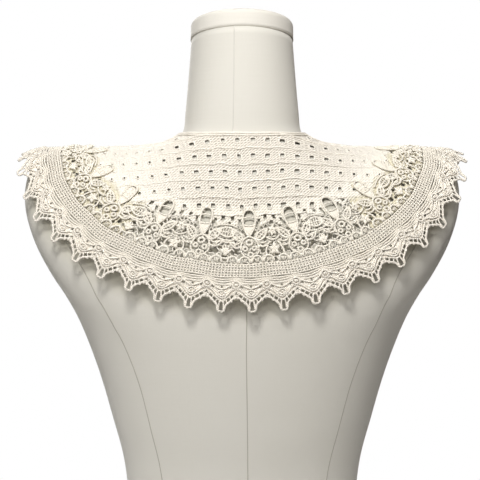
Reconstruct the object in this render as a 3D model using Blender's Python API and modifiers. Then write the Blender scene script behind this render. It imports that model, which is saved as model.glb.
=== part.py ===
"""Crocheted lace collar, worn on a limbless dress form.

Frame: +Z up, the form's front faces -Y and its back +Y, the origin is the centre of its flat base.
The tables are in millimetres and the mesh is in metres.

Every cross-section, of the form and of the collar, is one closed ring: level round the waist, and
rolled over the shoulders higher up, where its sides are higher than its back and front.
"""

import math
from collections import namedtuple

import bpy
import numpy as np

MM = 0.001

# Collar, as distances from the neck edge, measured down the centre back
YOKE_END = 79.0
FLOWERS_END = 136.0
BEADING_END = 156.0
VALLEYS = 167.0
TIPS = 181.0
POINTS = 48
WALL = 1.6
SEAM = 0.3
FRONT_GAP = 6.0

# Steps of each mesh
STEPS_PER_POINT = 4
PANEL_STEPS = 84
YOKE_ROWS = 4
FLOWER_ROWS = 3
BEADING_ROWS = 2
BORDER_ROWS = 2
FORM_SIDES = 52
FORM_STEPS_PER_ROW = 2

# Two soft swellings at the front of the form's chest
CHEST_OUT = 13.0
CHEST_APART = 74.0
CHEST_HEIGHT = 392.0
CHEST_WIDE = 50.0
CHEST_TALL = 58.0

# Disc that closes the neck
CAP_RADIUS = 51.7
CAP_HEIGHT = 21.0
CAP_DOME = 2.0
CAP_EDGE = 6.0
CAP_CHAMFER = 1.2
CAP_SIDES = 56
CAP_STEPS = 5

# One ring: its points at the side, centre back and centre front, how much its back rises with its
# lean, and how square its plan is (0 an ellipse, 1 nearly straight across the back)
Ring = namedtuple("Ring", "side_x side_y side_z back_y back_z front_y front_z tilt fullness")

# Dress form, from its flat base to the top of its neck
FORM = {
    #                      side_x side_y side_z back_y back_z front_y front_z tilt fullness
    "base":           Ring(163.0,   0.0,   0.0, 110.0,   0.0, -106.0,   0.0, 0.0, 0.30),
    "seat":           Ring(166.0,   0.0,  28.0, 113.0,  28.0, -108.0,  28.0, 0.0, 0.30),
    "hip":            Ring(158.0,   0.0,  72.0, 109.0,  72.0, -106.0,  72.0, 0.0, 0.30),
    "high_hip":       Ring(138.0,   0.0, 122.0,  96.0, 122.0,  -99.0, 122.0, 0.0, 0.28),
    "low_waist":      Ring(121.0,   0.0, 162.0,  83.0, 162.0,  -90.0, 162.0, 0.0, 0.28),
    "waist":          Ring(114.0,   0.0, 197.0,  77.0, 197.0,  -85.0, 197.0, 0.0, 0.28),
    "high_waist":     Ring(117.5,   0.0, 237.0,  81.0, 233.0,  -88.0, 232.0, 0.0, 0.32),
    "ribs":           Ring(128.5,   0.0, 279.0,  89.5, 270.0,  -95.5, 266.0, 0.0, 0.40),
    "under_chest":    Ring(142.5,   0.0, 327.0,  97.3, 312.0, -102.5, 297.0, 0.0, 0.50),
    "chest":          Ring(160.5,   0.0, 375.0, 101.3, 342.0, -107.0, 320.0, 0.0, 0.60),
    "armhole":        Ring(177.0,   0.0, 408.0, 103.0, 358.0, -110.0, 332.0, 0.0, 0.68),
    "back_width":     Ring(192.5,   0.0, 435.0, 103.8, 370.0, -112.0, 342.0, 0.0, 0.75),
    "shoulder_blade": Ring(207.0,   0.0, 468.0, 104.3, 382.0, -113.3, 352.0, 0.0, 0.82),
    "arm_top":        Ring(214.5,   0.0, 501.0, 104.5, 394.0, -114.3, 362.0, 0.0, 0.88),
    "shoulder_end":   Ring(210.0,   0.0, 526.0, 104.3, 406.0, -115.0, 373.0, 0.0, 0.92),
    "shoulder_edge":  Ring(194.0,   0.0, 539.5, 103.2, 421.0, -114.8, 386.0, 0.0, 0.95),
    "outer_shoulder": Ring(168.0,   0.0, 544.0, 100.0, 444.0, -112.5, 405.0, 0.0, 0.97),
    "mid_shoulder":   Ring(130.0,   0.0, 544.7,  87.5, 487.0, -102.0, 441.0, 0.0, 0.97),
    "inner_shoulder": Ring( 97.0,   0.0, 546.4,  71.3, 522.0,  -83.5, 477.0, 0.0, 0.82),
    "neck_root":      Ring( 69.0,  -0.5, 551.3,  58.5, 547.5,  -65.0, 504.0, 1.0, 0.50),
    "neck_base":      Ring( 59.0,  -1.5, 563.5,  52.5, 563.0,  -57.5, 521.0, 2.0, 0.25),
    "low_neck":       Ring( 56.6,  -3.5, 583.0,  48.5, 585.0,  -57.5, 551.0, 4.0, 0.10),
    "mid_neck":       Ring( 53.8,  -8.5, 617.0,  42.5, 623.0,  -60.0, 598.0, 6.5, 0.03),
    "neck_top":       Ring( 51.0, -14.0, 656.0,  37.0, 664.0,  -65.0, 648.0, 8.0, 0.00),
}

# Collar, by distance from the neck edge
COLLAR = {
    # reach:     side_x side_y side_z back_y back_z front_y front_z tilt fullness
    0.0:    Ring( 63.2,  -1.0, 560.0,  56.2, 558.0,  -66.5, 507.0, 0.0, 0.35),
    12.0:   Ring( 74.0,  -0.5, 554.0,  61.4, 547.2,  -73.3, 497.2, 0.0, 0.55),
    40.0:   Ring( 97.5,   0.0, 549.8,  74.0, 522.3,  -89.6, 474.3, 0.0, 0.85),
    YOKE_END:    Ring(129.0,   0.0, 548.3,  90.5, 487.0, -108.0, 440.0, 0.0, 1.00),
    FLOWERS_END: Ring(177.0,   0.0, 548.0, 110.6, 433.7, -124.4, 385.5, 0.0, 1.00),
    BEADING_END: Ring(197.0,   0.0, 547.2, 116.0, 414.5, -127.6, 365.8, 0.0, 1.00),
    VALLEYS:     Ring(207.5,   0.0, 545.6, 118.4, 403.8, -128.9, 354.9, 0.0, 0.97),
    TIPS:        Ring(219.5,   0.0, 541.5, 120.6, 390.0, -130.2, 341.0, 0.0, 0.92),
}


def cubic_through(knots, values, at):
    """Smooth curve through the rows of a table, with slopes from each row's neighbours."""
    knots = np.asarray(knots, float)
    values = np.asarray(values, float)
    slopes = np.gradient(values, knots, axis=0)
    cell = np.clip(np.searchsorted(knots, at, side="right") - 1, 0, len(knots) - 2)
    width = (knots[cell + 1] - knots[cell])[:, None]
    t = (np.asarray(at, float) - knots[cell])[:, None] / width
    start, end = values[cell], values[cell + 1]
    slope_in, slope_out = slopes[cell] * width, slopes[cell + 1] * width
    return (
        (2 * t**3 - 3 * t**2 + 1) * start
        + (t**3 - 2 * t**2 + t) * slope_in
        + (3 * t**2 - 2 * t**3) * end
        + (t**3 - t**2) * slope_out
    )


def ring_points(ring, angle):
    """Points of one ring, with angle 0 at the centre back and pi at the centre front."""
    ring = Ring(*ring)
    cos, sin = np.cos(angle), np.sin(angle)
    at_back = cos > 0
    end_y = np.where(at_back, ring.back_y, ring.front_y)
    end_z = np.where(at_back, ring.back_z - ring.tilt, ring.front_z + ring.tilt)
    x = ring.side_x * sin * np.sqrt(1 + ring.fullness * cos**2)
    y = ring.side_y + (end_y - ring.side_y) * np.abs(cos)
    z = ring.side_z + ring.tilt * cos + (end_z - ring.side_z) * cos**2
    swell = CHEST_OUT * np.exp(
        -(((np.abs(x) - CHEST_APART) / CHEST_WIDE) ** 2)
        - ((z - CHEST_HEIGHT) / CHEST_TALL) ** 2
    )
    return np.stack([x, y - swell * np.clip(-cos, 0, 1), z], axis=-1)


def collar_ring(reach):
    """The collar's ring at this distance from its neck edge."""
    return cubic_through(list(COLLAR), [tuple(ring) for ring in COLLAR.values()], [reach])[0]


def collar_point(share, reach):
    """Point of the collar's middle surface. share runs round it, from -1 to 1 with 0 at the centre back."""
    angle = np.linspace(0, math.pi, 361)
    half = ring_points(collar_ring(reach), angle)
    length = np.append(0, np.cumsum(np.linalg.norm(np.diff(half, axis=0), axis=1)))
    past_side = angle > math.pi / 2
    end = np.interp(-FRONT_GAP / 2, -half[past_side, 0], length[past_side])
    where = np.interp(abs(share) * end, length, angle)
    x, y, z = ring_points(collar_ring(reach), where)
    return x * (1 if share > 0 else -1), y, z


def material(name, colour, roughness):
    made = bpy.data.materials.new(name)
    made.use_nodes = True
    shader = made.node_tree.nodes["Principled BSDF"]
    shader.inputs["Base Color"].default_value = (*colour, 1)
    shader.inputs["Roughness"].default_value = roughness
    shader.inputs["Metallic"].default_value = 0
    made.diffuse_color = (*colour, 1)
    return made


def mesh_object(name, points, edges, faces, look, parent):
    mesh = bpy.data.meshes.new(name)
    mesh.from_pydata([tuple(np.multiply(p, MM)) for p in points], edges, faces)
    mesh.materials.append(look)
    obj = bpy.data.objects.new(name, mesh)
    parts.objects.link(obj)
    obj.parent = parent
    mesh.shade_smooth()
    mesh.set_sharp_from_angle(angle=math.radians(40))
    return obj


def form_body(look, parent):
    """Loft through the form's rings, closed by a flat base and a flat, tilted neck top."""
    rows = [tuple(ring) for ring in FORM.values()]
    last = len(rows) - 1
    steps = np.linspace(0, last, last * FORM_STEPS_PER_ROW + 1)
    angle = np.linspace(0, 2 * math.pi, FORM_SIDES, endpoint=False)
    points = [p for row in cubic_through(range(len(rows)), rows, steps) for p in ring_points(row, angle)]
    faces = []
    for low in range(len(steps) - 1):
        for side in range(FORM_SIDES):
            after = (side + 1) % FORM_SIDES
            a, b = low * FORM_SIDES + side, low * FORM_SIDES + after
            faces.append((a, a + FORM_SIDES, b + FORM_SIDES, b))
    top = (len(steps) - 1) * FORM_SIDES
    faces.append(tuple(range(FORM_SIDES)))
    faces.append(tuple(top + side for side in reversed(range(FORM_SIDES))))
    return mesh_object("form_body", points, [], faces, look, parent)


def neck_cap(look, parent):
    """Low turned disc with a rounded edge, on the tilted top of the neck."""
    neck = FORM["neck_top"]
    tilt = math.atan2(neck.back_z - neck.front_z, neck.back_y - neck.front_y)
    flat = CAP_RADIUS - CAP_EDGE
    profile = [(0, CAP_HEIGHT), (flat * 0.6, CAP_HEIGHT - CAP_DOME * 0.36)]
    for angle in np.linspace(math.pi / 2, 0, CAP_STEPS):
        low = CAP_HEIGHT - CAP_DOME - CAP_EDGE
        profile.append((flat + CAP_EDGE * math.cos(angle), low + CAP_EDGE * math.sin(angle)))
    profile += [(CAP_RADIUS, CAP_CHAMFER), (CAP_RADIUS - CAP_CHAMFER, 0), (0, 0)]
    points = [(radius, 0, height) for radius, height in profile]
    edges = [(i, i + 1) for i in range(len(profile) - 1)]
    cap = mesh_object("neck_cap", points, edges, [], look, parent)
    screw = cap.modifiers.new("turn", "SCREW")
    screw.steps = screw.render_steps = CAP_SIDES
    screw.use_merge_vertices = True
    screw.merge_threshold = 0.0001
    screw.use_smooth_shade = True
    out = np.array([0, -math.sin(tilt), math.cos(tilt)]) * SEAM
    cap.location = (out + [0, neck.side_y, neck.side_z]) * MM
    cap.rotation_euler = (tilt, 0, 0)
    return cap


def panel(name, edges, rows, shares, look, parent):
    """Wall of the collar. edges gives its inner and outer distance from the neck at each share round it."""
    points = []
    for share in shares:
        inner, outer = edges(share)
        points += [collar_point(share, reach) for reach in np.linspace(inner, outer, rows + 1)]
    faces = []
    for column in range(len(shares) - 1):
        for row in range(rows):
            a = column * (rows + 1) + row
            faces.append((a, a + 1, a + rows + 2, a + rows + 1))
    wall = mesh_object(name, points, [], faces, look, parent)
    thick = wall.modifiers.new("wall", "SOLIDIFY")
    thick.thickness = WALL * MM
    thick.offset = 0
    thick.use_even_offset = True
    return wall


def pointed_edge(share):
    """Inner and outer distance from the neck of the border, whose outer edge is a row of points."""
    along = share * POINTS / 2
    to_tip = 1 - abs(2 * (along - math.floor(along)) - 1)
    return BEADING_END + SEAM / 2, VALLEYS + (TIPS - VALLEYS) * to_tip


for old in list(bpy.data.objects):
    bpy.data.objects.remove(old, do_unlink=True)
parts = bpy.data.collections.new("lace_collar_on_dress_form")
bpy.context.scene.collection.children.link(parts)
stand = bpy.data.objects.new("frame", None)
parts.objects.link(stand)

cover = material("form_cover", (0.79, 0.78, 0.72), 0.9)
cap_cover = material("cap_cover", (0.82, 0.81, 0.76), 0.85)
yoke_lace = material("yoke_lace", (0.86, 0.82, 0.74), 0.9)
flower_lace = material("flower_lace", (0.88, 0.84, 0.75), 0.9)
beading_lace = material("beading_lace", (0.85, 0.81, 0.73), 0.9)
border_lace = material("border_lace", (0.87, 0.83, 0.75), 0.9)

panel_shares = np.linspace(-1, 1, PANEL_STEPS + 1)
border_shares = np.linspace(-1, 1, POINTS * STEPS_PER_POINT + 1)

form_body(cover, stand)
neck_cap(cap_cover, stand)
panel("collar_yoke", lambda share: (0, YOKE_END - SEAM / 2), YOKE_ROWS, panel_shares, yoke_lace, stand)
panel(
    "collar_flower_band",
    lambda share: (YOKE_END + SEAM / 2, FLOWERS_END - SEAM / 2),
    FLOWER_ROWS,
    panel_shares,
    flower_lace,
    stand,
)
panel(
    "collar_beading",
    lambda share: (FLOWERS_END + SEAM / 2, BEADING_END - SEAM / 2),
    BEADING_ROWS,
    panel_shares,
    beading_lace,
    stand,
)
panel("collar_pointed_border", pointed_edge, BORDER_ROWS, border_shares, border_lace, stand)
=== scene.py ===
"""The lace collar on its dress form, thread by thread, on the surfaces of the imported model."""

import math
from collections import namedtuple

import bpy
import numpy as np
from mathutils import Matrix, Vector, kdtree


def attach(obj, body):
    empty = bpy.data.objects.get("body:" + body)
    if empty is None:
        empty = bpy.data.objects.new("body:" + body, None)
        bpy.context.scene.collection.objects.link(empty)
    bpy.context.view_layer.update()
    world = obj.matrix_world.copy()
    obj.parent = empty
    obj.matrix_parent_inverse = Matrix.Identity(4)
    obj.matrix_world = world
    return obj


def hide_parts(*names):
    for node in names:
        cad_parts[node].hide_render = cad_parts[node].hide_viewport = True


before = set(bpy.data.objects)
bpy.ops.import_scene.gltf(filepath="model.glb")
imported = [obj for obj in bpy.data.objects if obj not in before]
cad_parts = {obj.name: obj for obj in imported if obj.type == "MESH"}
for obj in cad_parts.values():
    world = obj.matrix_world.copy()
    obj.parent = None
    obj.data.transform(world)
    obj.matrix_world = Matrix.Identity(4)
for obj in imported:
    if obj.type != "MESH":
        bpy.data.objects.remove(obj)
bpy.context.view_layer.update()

MM = 0.001

# Distances from the neck edge over the cloth, in millimetres, as in the part.
YOKE_END = 79.0
FLOWERS_END = 136.0
BEADING_END = 156.0
VALLEYS = 167.0
TIPS = 181.0

POINTS = 48
FRONT_GAP = 6.0  # between the two front edges, in millimetres
THREAD_END = 0.999  # share where cords round the collar end, just short of the front edges at 1

# Swell of the chest, in millimetres.
CHEST_OUT = 13.0
CHEST_APART = 74.0
CHEST_HEIGHT = 392.0
CHEST_WIDE = 50.0
CHEST_TALL = 58.0

# Neck cap, in millimetres.
CAP_RADIUS = 51.7
CAP_HEIGHT = 21.0
CAP_DOME = 2.0
CAP_EDGE = 6.0
CAP_CHAMFER = 1.2
CAP_CLEAR = 0.3
CAP_SEAM_RADIUS = 51.2
CAP_SEAM_UP = 0.2

Ring = namedtuple("Ring", "side_x side_y side_z back_y back_z front_y front_z tilt fullness")
FORM = {
    "base": Ring(163, 0, 0, 110, 0, -106, 0, 0, 0.3),
    "seat": Ring(166, 0, 28, 113, 28, -108, 28, 0, 0.3),
    "hip": Ring(158, 0, 72, 109, 72, -106, 72, 0, 0.3),
    "high_hip": Ring(138, 0, 122, 96, 122, -99, 122, 0, 0.28),
    "low_waist": Ring(121, 0, 162, 83, 162, -90, 162, 0, 0.28),
    "waist": Ring(114, 0, 197, 77, 197, -85, 197, 0, 0.28),
    "high_waist": Ring(117.5, 0, 237, 81, 233, -88, 232, 0, 0.32),
    "ribs": Ring(128.5, 0, 279, 89.5, 270, -95.5, 266, 0, 0.4),
    "under_chest": Ring(142.5, 0, 327, 97.3, 312, -102.5, 297, 0, 0.5),
    "chest": Ring(160.5, 0, 375, 101.3, 342, -107, 320, 0, 0.6),
    "armhole": Ring(177, 0, 408, 103, 358, -110, 332, 0, 0.68),
    "back_width": Ring(192.5, 0, 435, 103.8, 370, -112, 342, 0, 0.75),
    "shoulder_blade": Ring(207, 0, 468, 104.3, 382, -113.3, 352, 0, 0.82),
    "arm_top": Ring(214.5, 0, 501, 104.5, 394, -114.3, 362, 0, 0.88),
    "shoulder_end": Ring(210, 0, 526, 104.3, 406, -115, 373, 0, 0.92),
    "shoulder_edge": Ring(194, 0, 539.5, 103.2, 421, -114.8, 386, 0, 0.95),
    "outer_shoulder": Ring(168, 0, 544, 100, 444, -112.5, 405, 0, 0.97),
    "mid_shoulder": Ring(130, 0, 544.7, 87.5, 487, -102, 441, 0, 0.97),
    "inner_shoulder": Ring(97, 0, 546.4, 71.3, 522, -83.5, 477, 0, 0.82),
    "neck_root": Ring(69, -0.5, 551.3, 58.5, 547.5, -65, 504, 1, 0.5),
    "neck_base": Ring(59, -1.5, 563.5, 52.5, 563, -57.5, 521, 2, 0.25),
    "low_neck": Ring(56.6, -3.5, 583, 48.5, 585, -57.5, 551, 4, 0.1),
    "mid_neck": Ring(53.8, -8.5, 617, 42.5, 623, -60, 598, 6.5, 0.03),
    "neck_top": Ring(51, -14, 656, 37, 664, -65, 648, 8, 0),
}
COLLAR = {
    0.0: Ring(63.2, -1, 560, 56.2, 558, -66.5, 507, 0, 0.35),
    12.0: Ring(74, -0.5, 554, 61.4, 547.2, -73.3, 497.2, 0, 0.55),
    40.0: Ring(97.5, 0, 549.8, 74, 522.3, -89.6, 474.3, 0, 0.85),
    YOKE_END: Ring(129, 0, 548.3, 90.5, 487, -108, 440, 0, 1),
    FLOWERS_END: Ring(177, 0, 548, 110.6, 433.7, -124.4, 385.5, 0, 1),
    BEADING_END: Ring(197, 0, 547.2, 116, 414.5, -127.6, 365.8, 0, 1),
    VALLEYS: Ring(207.5, 0, 545.6, 118.4, 403.8, -128.9, 354.9, 0, 0.97),
    TIPS: Ring(219.5, 0, 541.5, 120.6, 390, -130.2, 341, 0, 0.92),
}


def cubic_through(knots, values, at):
    """Smooth curve through the rows of a table, with slopes from each row's neighbours."""
    knots = np.asarray(knots, float)
    values = np.asarray(values, float)
    slopes = np.gradient(values, knots, axis=0)
    cell = np.clip(np.searchsorted(knots, at, side="right") - 1, 0, len(knots) - 2)
    width = (knots[cell + 1] - knots[cell])[:, None]
    t = (np.asarray(at, float) - knots[cell])[:, None] / width
    start, end = values[cell], values[cell + 1]
    slope_in, slope_out = slopes[cell] * width, slopes[cell + 1] * width
    return (
        (2 * t**3 - 3 * t**2 + 1) * start
        + (t**3 - 2 * t**2 + t) * slope_in
        + (3 * t**2 - 2 * t**3) * end
        + (t**3 - t**2) * slope_out
    )


def ring_points(ring, angle):
    """Points of one ring, with angle 0 at the centre back and pi at the centre front."""
    ring = Ring(*ring)
    cos, sin = np.cos(angle), np.sin(angle)
    end_y = np.where(cos > 0, ring.back_y, ring.front_y)
    end_z = np.where(cos > 0, ring.back_z - ring.tilt, ring.front_z + ring.tilt)
    x = ring.side_x * sin * np.sqrt(1 + ring.fullness * cos**2)
    y = ring.side_y + (end_y - ring.side_y) * np.abs(cos)
    z = ring.side_z + ring.tilt * cos + (end_z - ring.side_z) * cos**2
    swell = CHEST_OUT * np.exp(
        -(((np.abs(x) - CHEST_APART) / CHEST_WIDE) ** 2) - ((z - CHEST_HEIGHT) / CHEST_TALL) ** 2
    )
    return np.stack([x, y - swell * np.clip(-cos, 0, 1), z], axis=-1)


def ramp(at, start, end):
    """0 up to start, 1 from end, and straight between."""
    return np.clip((at - start) / (end - start), 0, 1)


def unit(vectors):
    return vectors / np.maximum(np.linalg.norm(vectors, axis=-1, keepdims=True), 1e-12)


def turn_of(count):
    """count angles, evenly round a full turn."""
    return np.arange(count) * 2 * math.pi / count


def middle_of(grid):
    """Values at the middles of a grid's cells."""
    return (grid[:-1, :-1] + grid[1:, 1:]) / 2


def sheet_quads(index):
    """The cells of a grid of point numbers."""
    return np.stack([index[..., :-1, :-1], index[..., :-1, 1:], index[..., 1:, 1:], index[..., 1:, :-1]], -1)


def ring_quads(rows, sides):
    """Point numbers of rows of rings, and the cells between the rings."""
    index = np.arange(rows * sides).reshape(rows, sides)
    low, high = index[:-1], index[1:]
    return index, np.stack([low, high, np.roll(high, -1, 1), np.roll(low, -1, 1)], -1)


# ---- the collar's surface

REACHES = np.arange(-4.0, 200.1, 2.0)
SHARES = np.linspace(-1.0, 1.0, 1601)


def collar_grid():
    """The collar's middle surface, as points by reach and share, and each ring's length."""
    angle = np.linspace(0, math.pi, 721)
    grid, lengths = [], []
    for row in cubic_through(list(COLLAR), [tuple(ring) for ring in COLLAR.values()], REACHES):
        half = ring_points(row, angle)
        length = np.append(0, np.cumsum(np.linalg.norm(np.diff(half, axis=0), axis=1)))
        past_side = angle > math.pi / 2
        end = np.interp(-FRONT_GAP / 2, -half[past_side, 0], length[past_side])
        where = np.interp(np.abs(SHARES) * end, length, angle)
        points = ring_points(row, where)
        points[:, 0] *= np.where(SHARES > 0, 1, -1)
        grid.append(points)
        lengths.append(2 * end)
    return np.array(grid), np.array(lengths)


GRID, RING_LENGTHS = collar_grid()
OUT = unit(np.cross(np.gradient(GRID, axis=1), np.gradient(GRID, axis=0)))


def half_length(reach):
    return np.interp(reach, REACHES, RING_LENGTHS) / 2


def hand_worked(share, reach):
    """Small unevenness along, across and out of the cloth, in millimetres, as in hand work."""
    hem = np.clip((reach - 120) / 60, 0, 1) ** 2
    across = 0.35 * np.sin(61 * share + 0.7) + 0.3 * np.sin(103 * share + 0.11 * reach)
    along = 0.4 * np.sin(0.13 * reach + 37 * share) + 0.3 * np.sin(91 * share + 2.1)
    out = 0.25 * np.sin(29 * share + 0.05 * reach) * np.sin(0.07 * reach + 1.0)
    out = out + hem * (1.3 * np.sin(75.4 * share + 1.9) + 1.1 * np.sin(47.0 * share + 0.4))
    for at, wide, rise in LIFTED_POINTS:
        out = out + rise * np.exp(-(((share - at) / wide) ** 2)) * np.clip((reach - 158) / 24, 0, 1.2) ** 2
    return along, across, out


# Points of the hem that stand up or curl under: share, half width in share, rise in millimetres.
LIFTED_POINTS = [
    (0.555, 0.018, 11.0),
    (-0.545, 0.018, 8.0),
    (0.43, 0.02, -3.0),
    (-0.36, 0.02, 3.0),
    (0.21, 0.02, 2.5),
]


def place(share, reach, up):
    """Points over the collar's middle surface, in metres, and the direction out of it there."""
    share, reach, up = np.broadcast_arrays(
        np.asarray(share, float), np.asarray(reach, float), np.asarray(up, float)
    )
    along, across, out = hand_worked(share, reach)
    share = np.clip(share + along / half_length(reach) * (1 - np.abs(share)), -1, 1)
    reach = reach + across * np.clip(reach / 20, 0, 1)
    row = np.clip((reach - REACHES[0]) / (REACHES[1] - REACHES[0]), 0, len(REACHES) - 1.001)
    column = np.clip((share - SHARES[0]) / (SHARES[1] - SHARES[0]), 0, len(SHARES) - 1.001)
    r, c = row.astype(int), column.astype(int)
    fr, fc = (row - r)[..., None], (column - c)[..., None]

    def between(table):
        low = table[r, c] * (1 - fc) + table[r, c + 1] * fc
        high = table[r + 1, c] * (1 - fc) + table[r + 1, c + 1] * fc
        return low * (1 - fr) + high * fr

    outward = unit(between(OUT))
    return (between(GRID) + outward * (up + out)[..., None]) * MM, outward


def shifted(share, shift):
    """share moved round the collar by shift at the centre back, and by nothing at the front."""
    return share + shift * (1 - np.abs(share))


# ---- meshes


class Cloth:
    """Tubes, pads and sheets gathered into one mesh, with their own flat sizes as its UV map."""

    def __init__(self):
        self.points, self.count = [], 0
        self.faces, self.flat = {4: [], 3: []}, {4: [], 3: []}

    def add(self, points, quads, quad_flat, tris=None, tri_flat=None):
        """Adds points, and faces with a place on the flat for each of their corners."""
        for corners, faces, flat in ((4, quads, quad_flat), (3, tris, tri_flat)):
            if faces is not None:
                self.faces[corners].append(faces.reshape(-1, corners) + self.count)
                self.flat[corners].append(flat.reshape(-1, 2))
        self.points.append(points.reshape(-1, 3))
        self.count += len(self.points[-1])

    def thread(self, share, reach, up, radius, closed=False, sides=5):
        """Tubes over the collar's middle surface, one for each row of share."""
        centre, out = place(share, reach, up)
        rows = (-1, *centre.shape[-2:])
        self.tubes(centre.reshape(rows), out.reshape(rows), radius, closed, sides)

    def tubes(self, centre, out, radius, closed=False, sides=5, tall=1.0):
        """One tube along each row of centre; radius is in millimetres, tall its height over its width."""
        many, steps, _ = centre.shape
        if not many:
            return
        if closed:
            along = np.roll(centre, -1, 1) - np.roll(centre, 1, 1)
        else:
            along = np.gradient(centre, axis=1)
        side = unit(np.cross(along, out))
        over = unit(np.cross(side, along))
        turn = turn_of(sides) + math.pi / 2
        radius = np.broadcast_to(np.asarray(radius, float), (many, steps))[..., None, None] * MM
        points = centre[:, :, None, :] + radius * (
            np.cos(turn)[:, None] * side[:, :, None, :] + tall * np.sin(turn)[:, None] * over[:, :, None, :]
        )
        index = np.arange(many * steps * sides).reshape(many, steps, sides)
        this, after = (index, np.roll(index, -1, 1)) if closed else (index[:, :-1], index[:, 1:])
        quads = np.stack([this, after, np.roll(after, -1, 2), np.roll(this, -1, 2)], -1)
        step = np.linalg.norm(np.diff(centre, axis=1, append=centre[:, :1]), axis=2)
        length = np.concatenate([np.zeros((many, 1)), np.cumsum(step, 1)], 1) * FLAT_SCALE
        u0, u1 = (length[:, :-1], length[:, 1:]) if closed else (length[:, :-2], length[:, 1:-1])
        v = np.arange(sides + 1) * 2 * math.pi / sides * radius.mean() * FLAT_SCALE
        shape = this.shape
        u0, u1 = (np.broadcast_to(x[:, :, None], shape) for x in (u0, u1))
        v0, v1 = (np.broadcast_to(x[None, None, :], shape) for x in (v[:-1], v[1:]))
        flat = np.stack([np.stack(corner, -1) for corner in ((u0, v0), (u1, v0), (u1, v1), (u0, v1))], -2)
        tris = tri_flat = None
        if not closed:
            fan = np.array([(0, k, k + 1) for k in range(1, sides - 1)])
            tris = np.concatenate([index[:, 0][:, fan], index[:, -1][:, fan[:, ::-1]]], 1)
            tri_flat = np.zeros((*tris.shape, 2))
        self.add(points, quads, flat, tris, tri_flat)

    def pads(self, centre_share, centre_reach, outline, height, up, shift):
        """A padded shape over each centre; outline is a closed list of points in millimetres."""
        outline = np.asarray(outline, float)
        middle = outline.mean(axis=0)
        around = len(outline)
        rows = [middle + (outline - middle) * ring for ring in PAD_RINGS]
        flat = np.concatenate(rows + [middle[None]])
        rise = np.repeat([height * math.sqrt(1 - ring**2) for ring in PAD_RINGS], around)
        rise = np.append(rise, height)
        points, _ = local(centre_share, centre_reach, flat[None, :, 0], flat[None, :, 1], up + rise, shift)
        many = points.shape[0]
        start = (np.arange(many) * len(flat))[:, None, None]
        ids = np.arange(around)
        quads = []
        for k in range(len(PAD_RINGS) - 1):
            a, b = k * around + ids, k * around + (ids + 1) % around
            quads.append(np.stack([a, b, b + around, a + around], -1))
        quads = np.concatenate(quads)
        last = (len(PAD_RINGS) - 1) * around
        tips = np.stack([last + ids, last + (ids + 1) % around, np.full(around, len(flat) - 1)], -1)
        under = np.array([(0, k + 1, k) for k in range(1, around - 1)])
        tris = np.concatenate([tips, under])
        if np.sum(np.cross(outline - middle, np.roll(outline, -1, 0) - middle)) < 0:
            quads, tris = quads[:, ::-1], tris[:, ::-1]
        uv = flat * MM * FLAT_SCALE
        quad_flat, tri_flat = (np.broadcast_to(uv[faces], (many, *faces.shape, 2)) for faces in (quads, tris))
        self.add(points, quads[None] + start, quad_flat, tris[None] + start, tri_flat)

    def join(self, other):
        for corners in (4, 3):
            self.faces[corners] += [faces + self.count for faces in other.faces[corners]]
            self.flat[corners] += other.flat[corners]
        self.points += other.points
        self.count += other.count

    def make(self, name, look):
        """The finished mesh, as an object that rides on the part's only body."""
        points = np.concatenate(self.points)
        quads, tris = (np.concatenate([np.zeros((0, n), int), *self.faces[n]]) for n in (4, 3))
        mesh = bpy.data.meshes.new(name)
        mesh.vertices.add(len(points))
        mesh.vertices.foreach_set("co", points.astype(np.float32).ravel())
        corners = np.concatenate([quads.ravel(), tris.ravel()])
        mesh.loops.add(len(corners))
        mesh.loops.foreach_set("vertex_index", corners.astype(np.int32))
        sizes = np.concatenate([np.full(len(quads), 4), np.full(len(tris), 3)])
        mesh.polygons.add(len(sizes))
        mesh.polygons.foreach_set("loop_start", np.append(0, np.cumsum(sizes))[:-1].astype(np.int32))
        mesh.update(calc_edges=True)
        flat = np.concatenate(self.flat[4] + self.flat[3])
        mesh.uv_layers.new(name="flat").uv.foreach_set("vector", flat.astype(np.float32).ravel())
        mesh.validate()
        mesh.shade_smooth()
        mesh.materials.append(look)
        made = add_object(name, mesh)
        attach(made, "root")
        print(name, "triangles", 2 * len(quads) + len(tris))
        return made


def add_object(name, data):
    made = bpy.data.objects.new(name, data)
    bpy.context.scene.collection.objects.link(made)
    return made


PAD_RINGS = (1.0, 0.82, 0.45)  # sizes of a pad's rings, from its outline in
LINE_STEP = 2.2
FLAT_SCALE = 10.0  # one unit of the UV map is 100 mm of thread or cloth
WAVE_PER_MM = 44.4  # scale of a diagonal Wave Texture whose bands are 1 mm apart on that map
STRAIGHT_PER_MM = 31.4  # the same for straight bands


def local(centre_share, centre_reach, x, y, up, shift):
    """Points x along and y outwards from each centre, in millimetres on the cloth. Rows are centres."""
    centre_share = np.asarray(centre_share, float).reshape(-1, 1)
    reach = np.asarray(centre_reach, float).reshape(-1, 1) + y
    share = centre_share + x / half_length(reach)
    return place(shifted(np.clip(share, -1, 1), shift), reach, up)


def line(*points):
    """A line through the points, with more between them, at most LINE_STEP apart."""
    points = np.array(points, float)
    made = [points[:1]]
    for a, b in zip(points[:-1], points[1:]):
        steps = max(1, int(math.ceil(np.linalg.norm(b - a) / LINE_STEP)))
        made.append(a + (b - a) * (np.arange(1, steps + 1) / steps)[:, None])
    return np.concatenate(made)


def smooth(points, closed=False, step=2.0):
    """A soft curve through a few points, with its points about step apart."""
    points = np.array(points, float)
    if closed:
        points = np.concatenate([points[-2:], points, points[:3]])
    length = np.append(0, np.cumsum(np.linalg.norm(np.diff(points, axis=0), axis=1)))
    start, end = (length[2], length[-3]) if closed else (0, length[-1])
    count = max(4, int(round((end - start) / step)) + 1)
    made = cubic_through(length, points, np.linspace(start, end, count))
    return made[:-1] if closed else made


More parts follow.
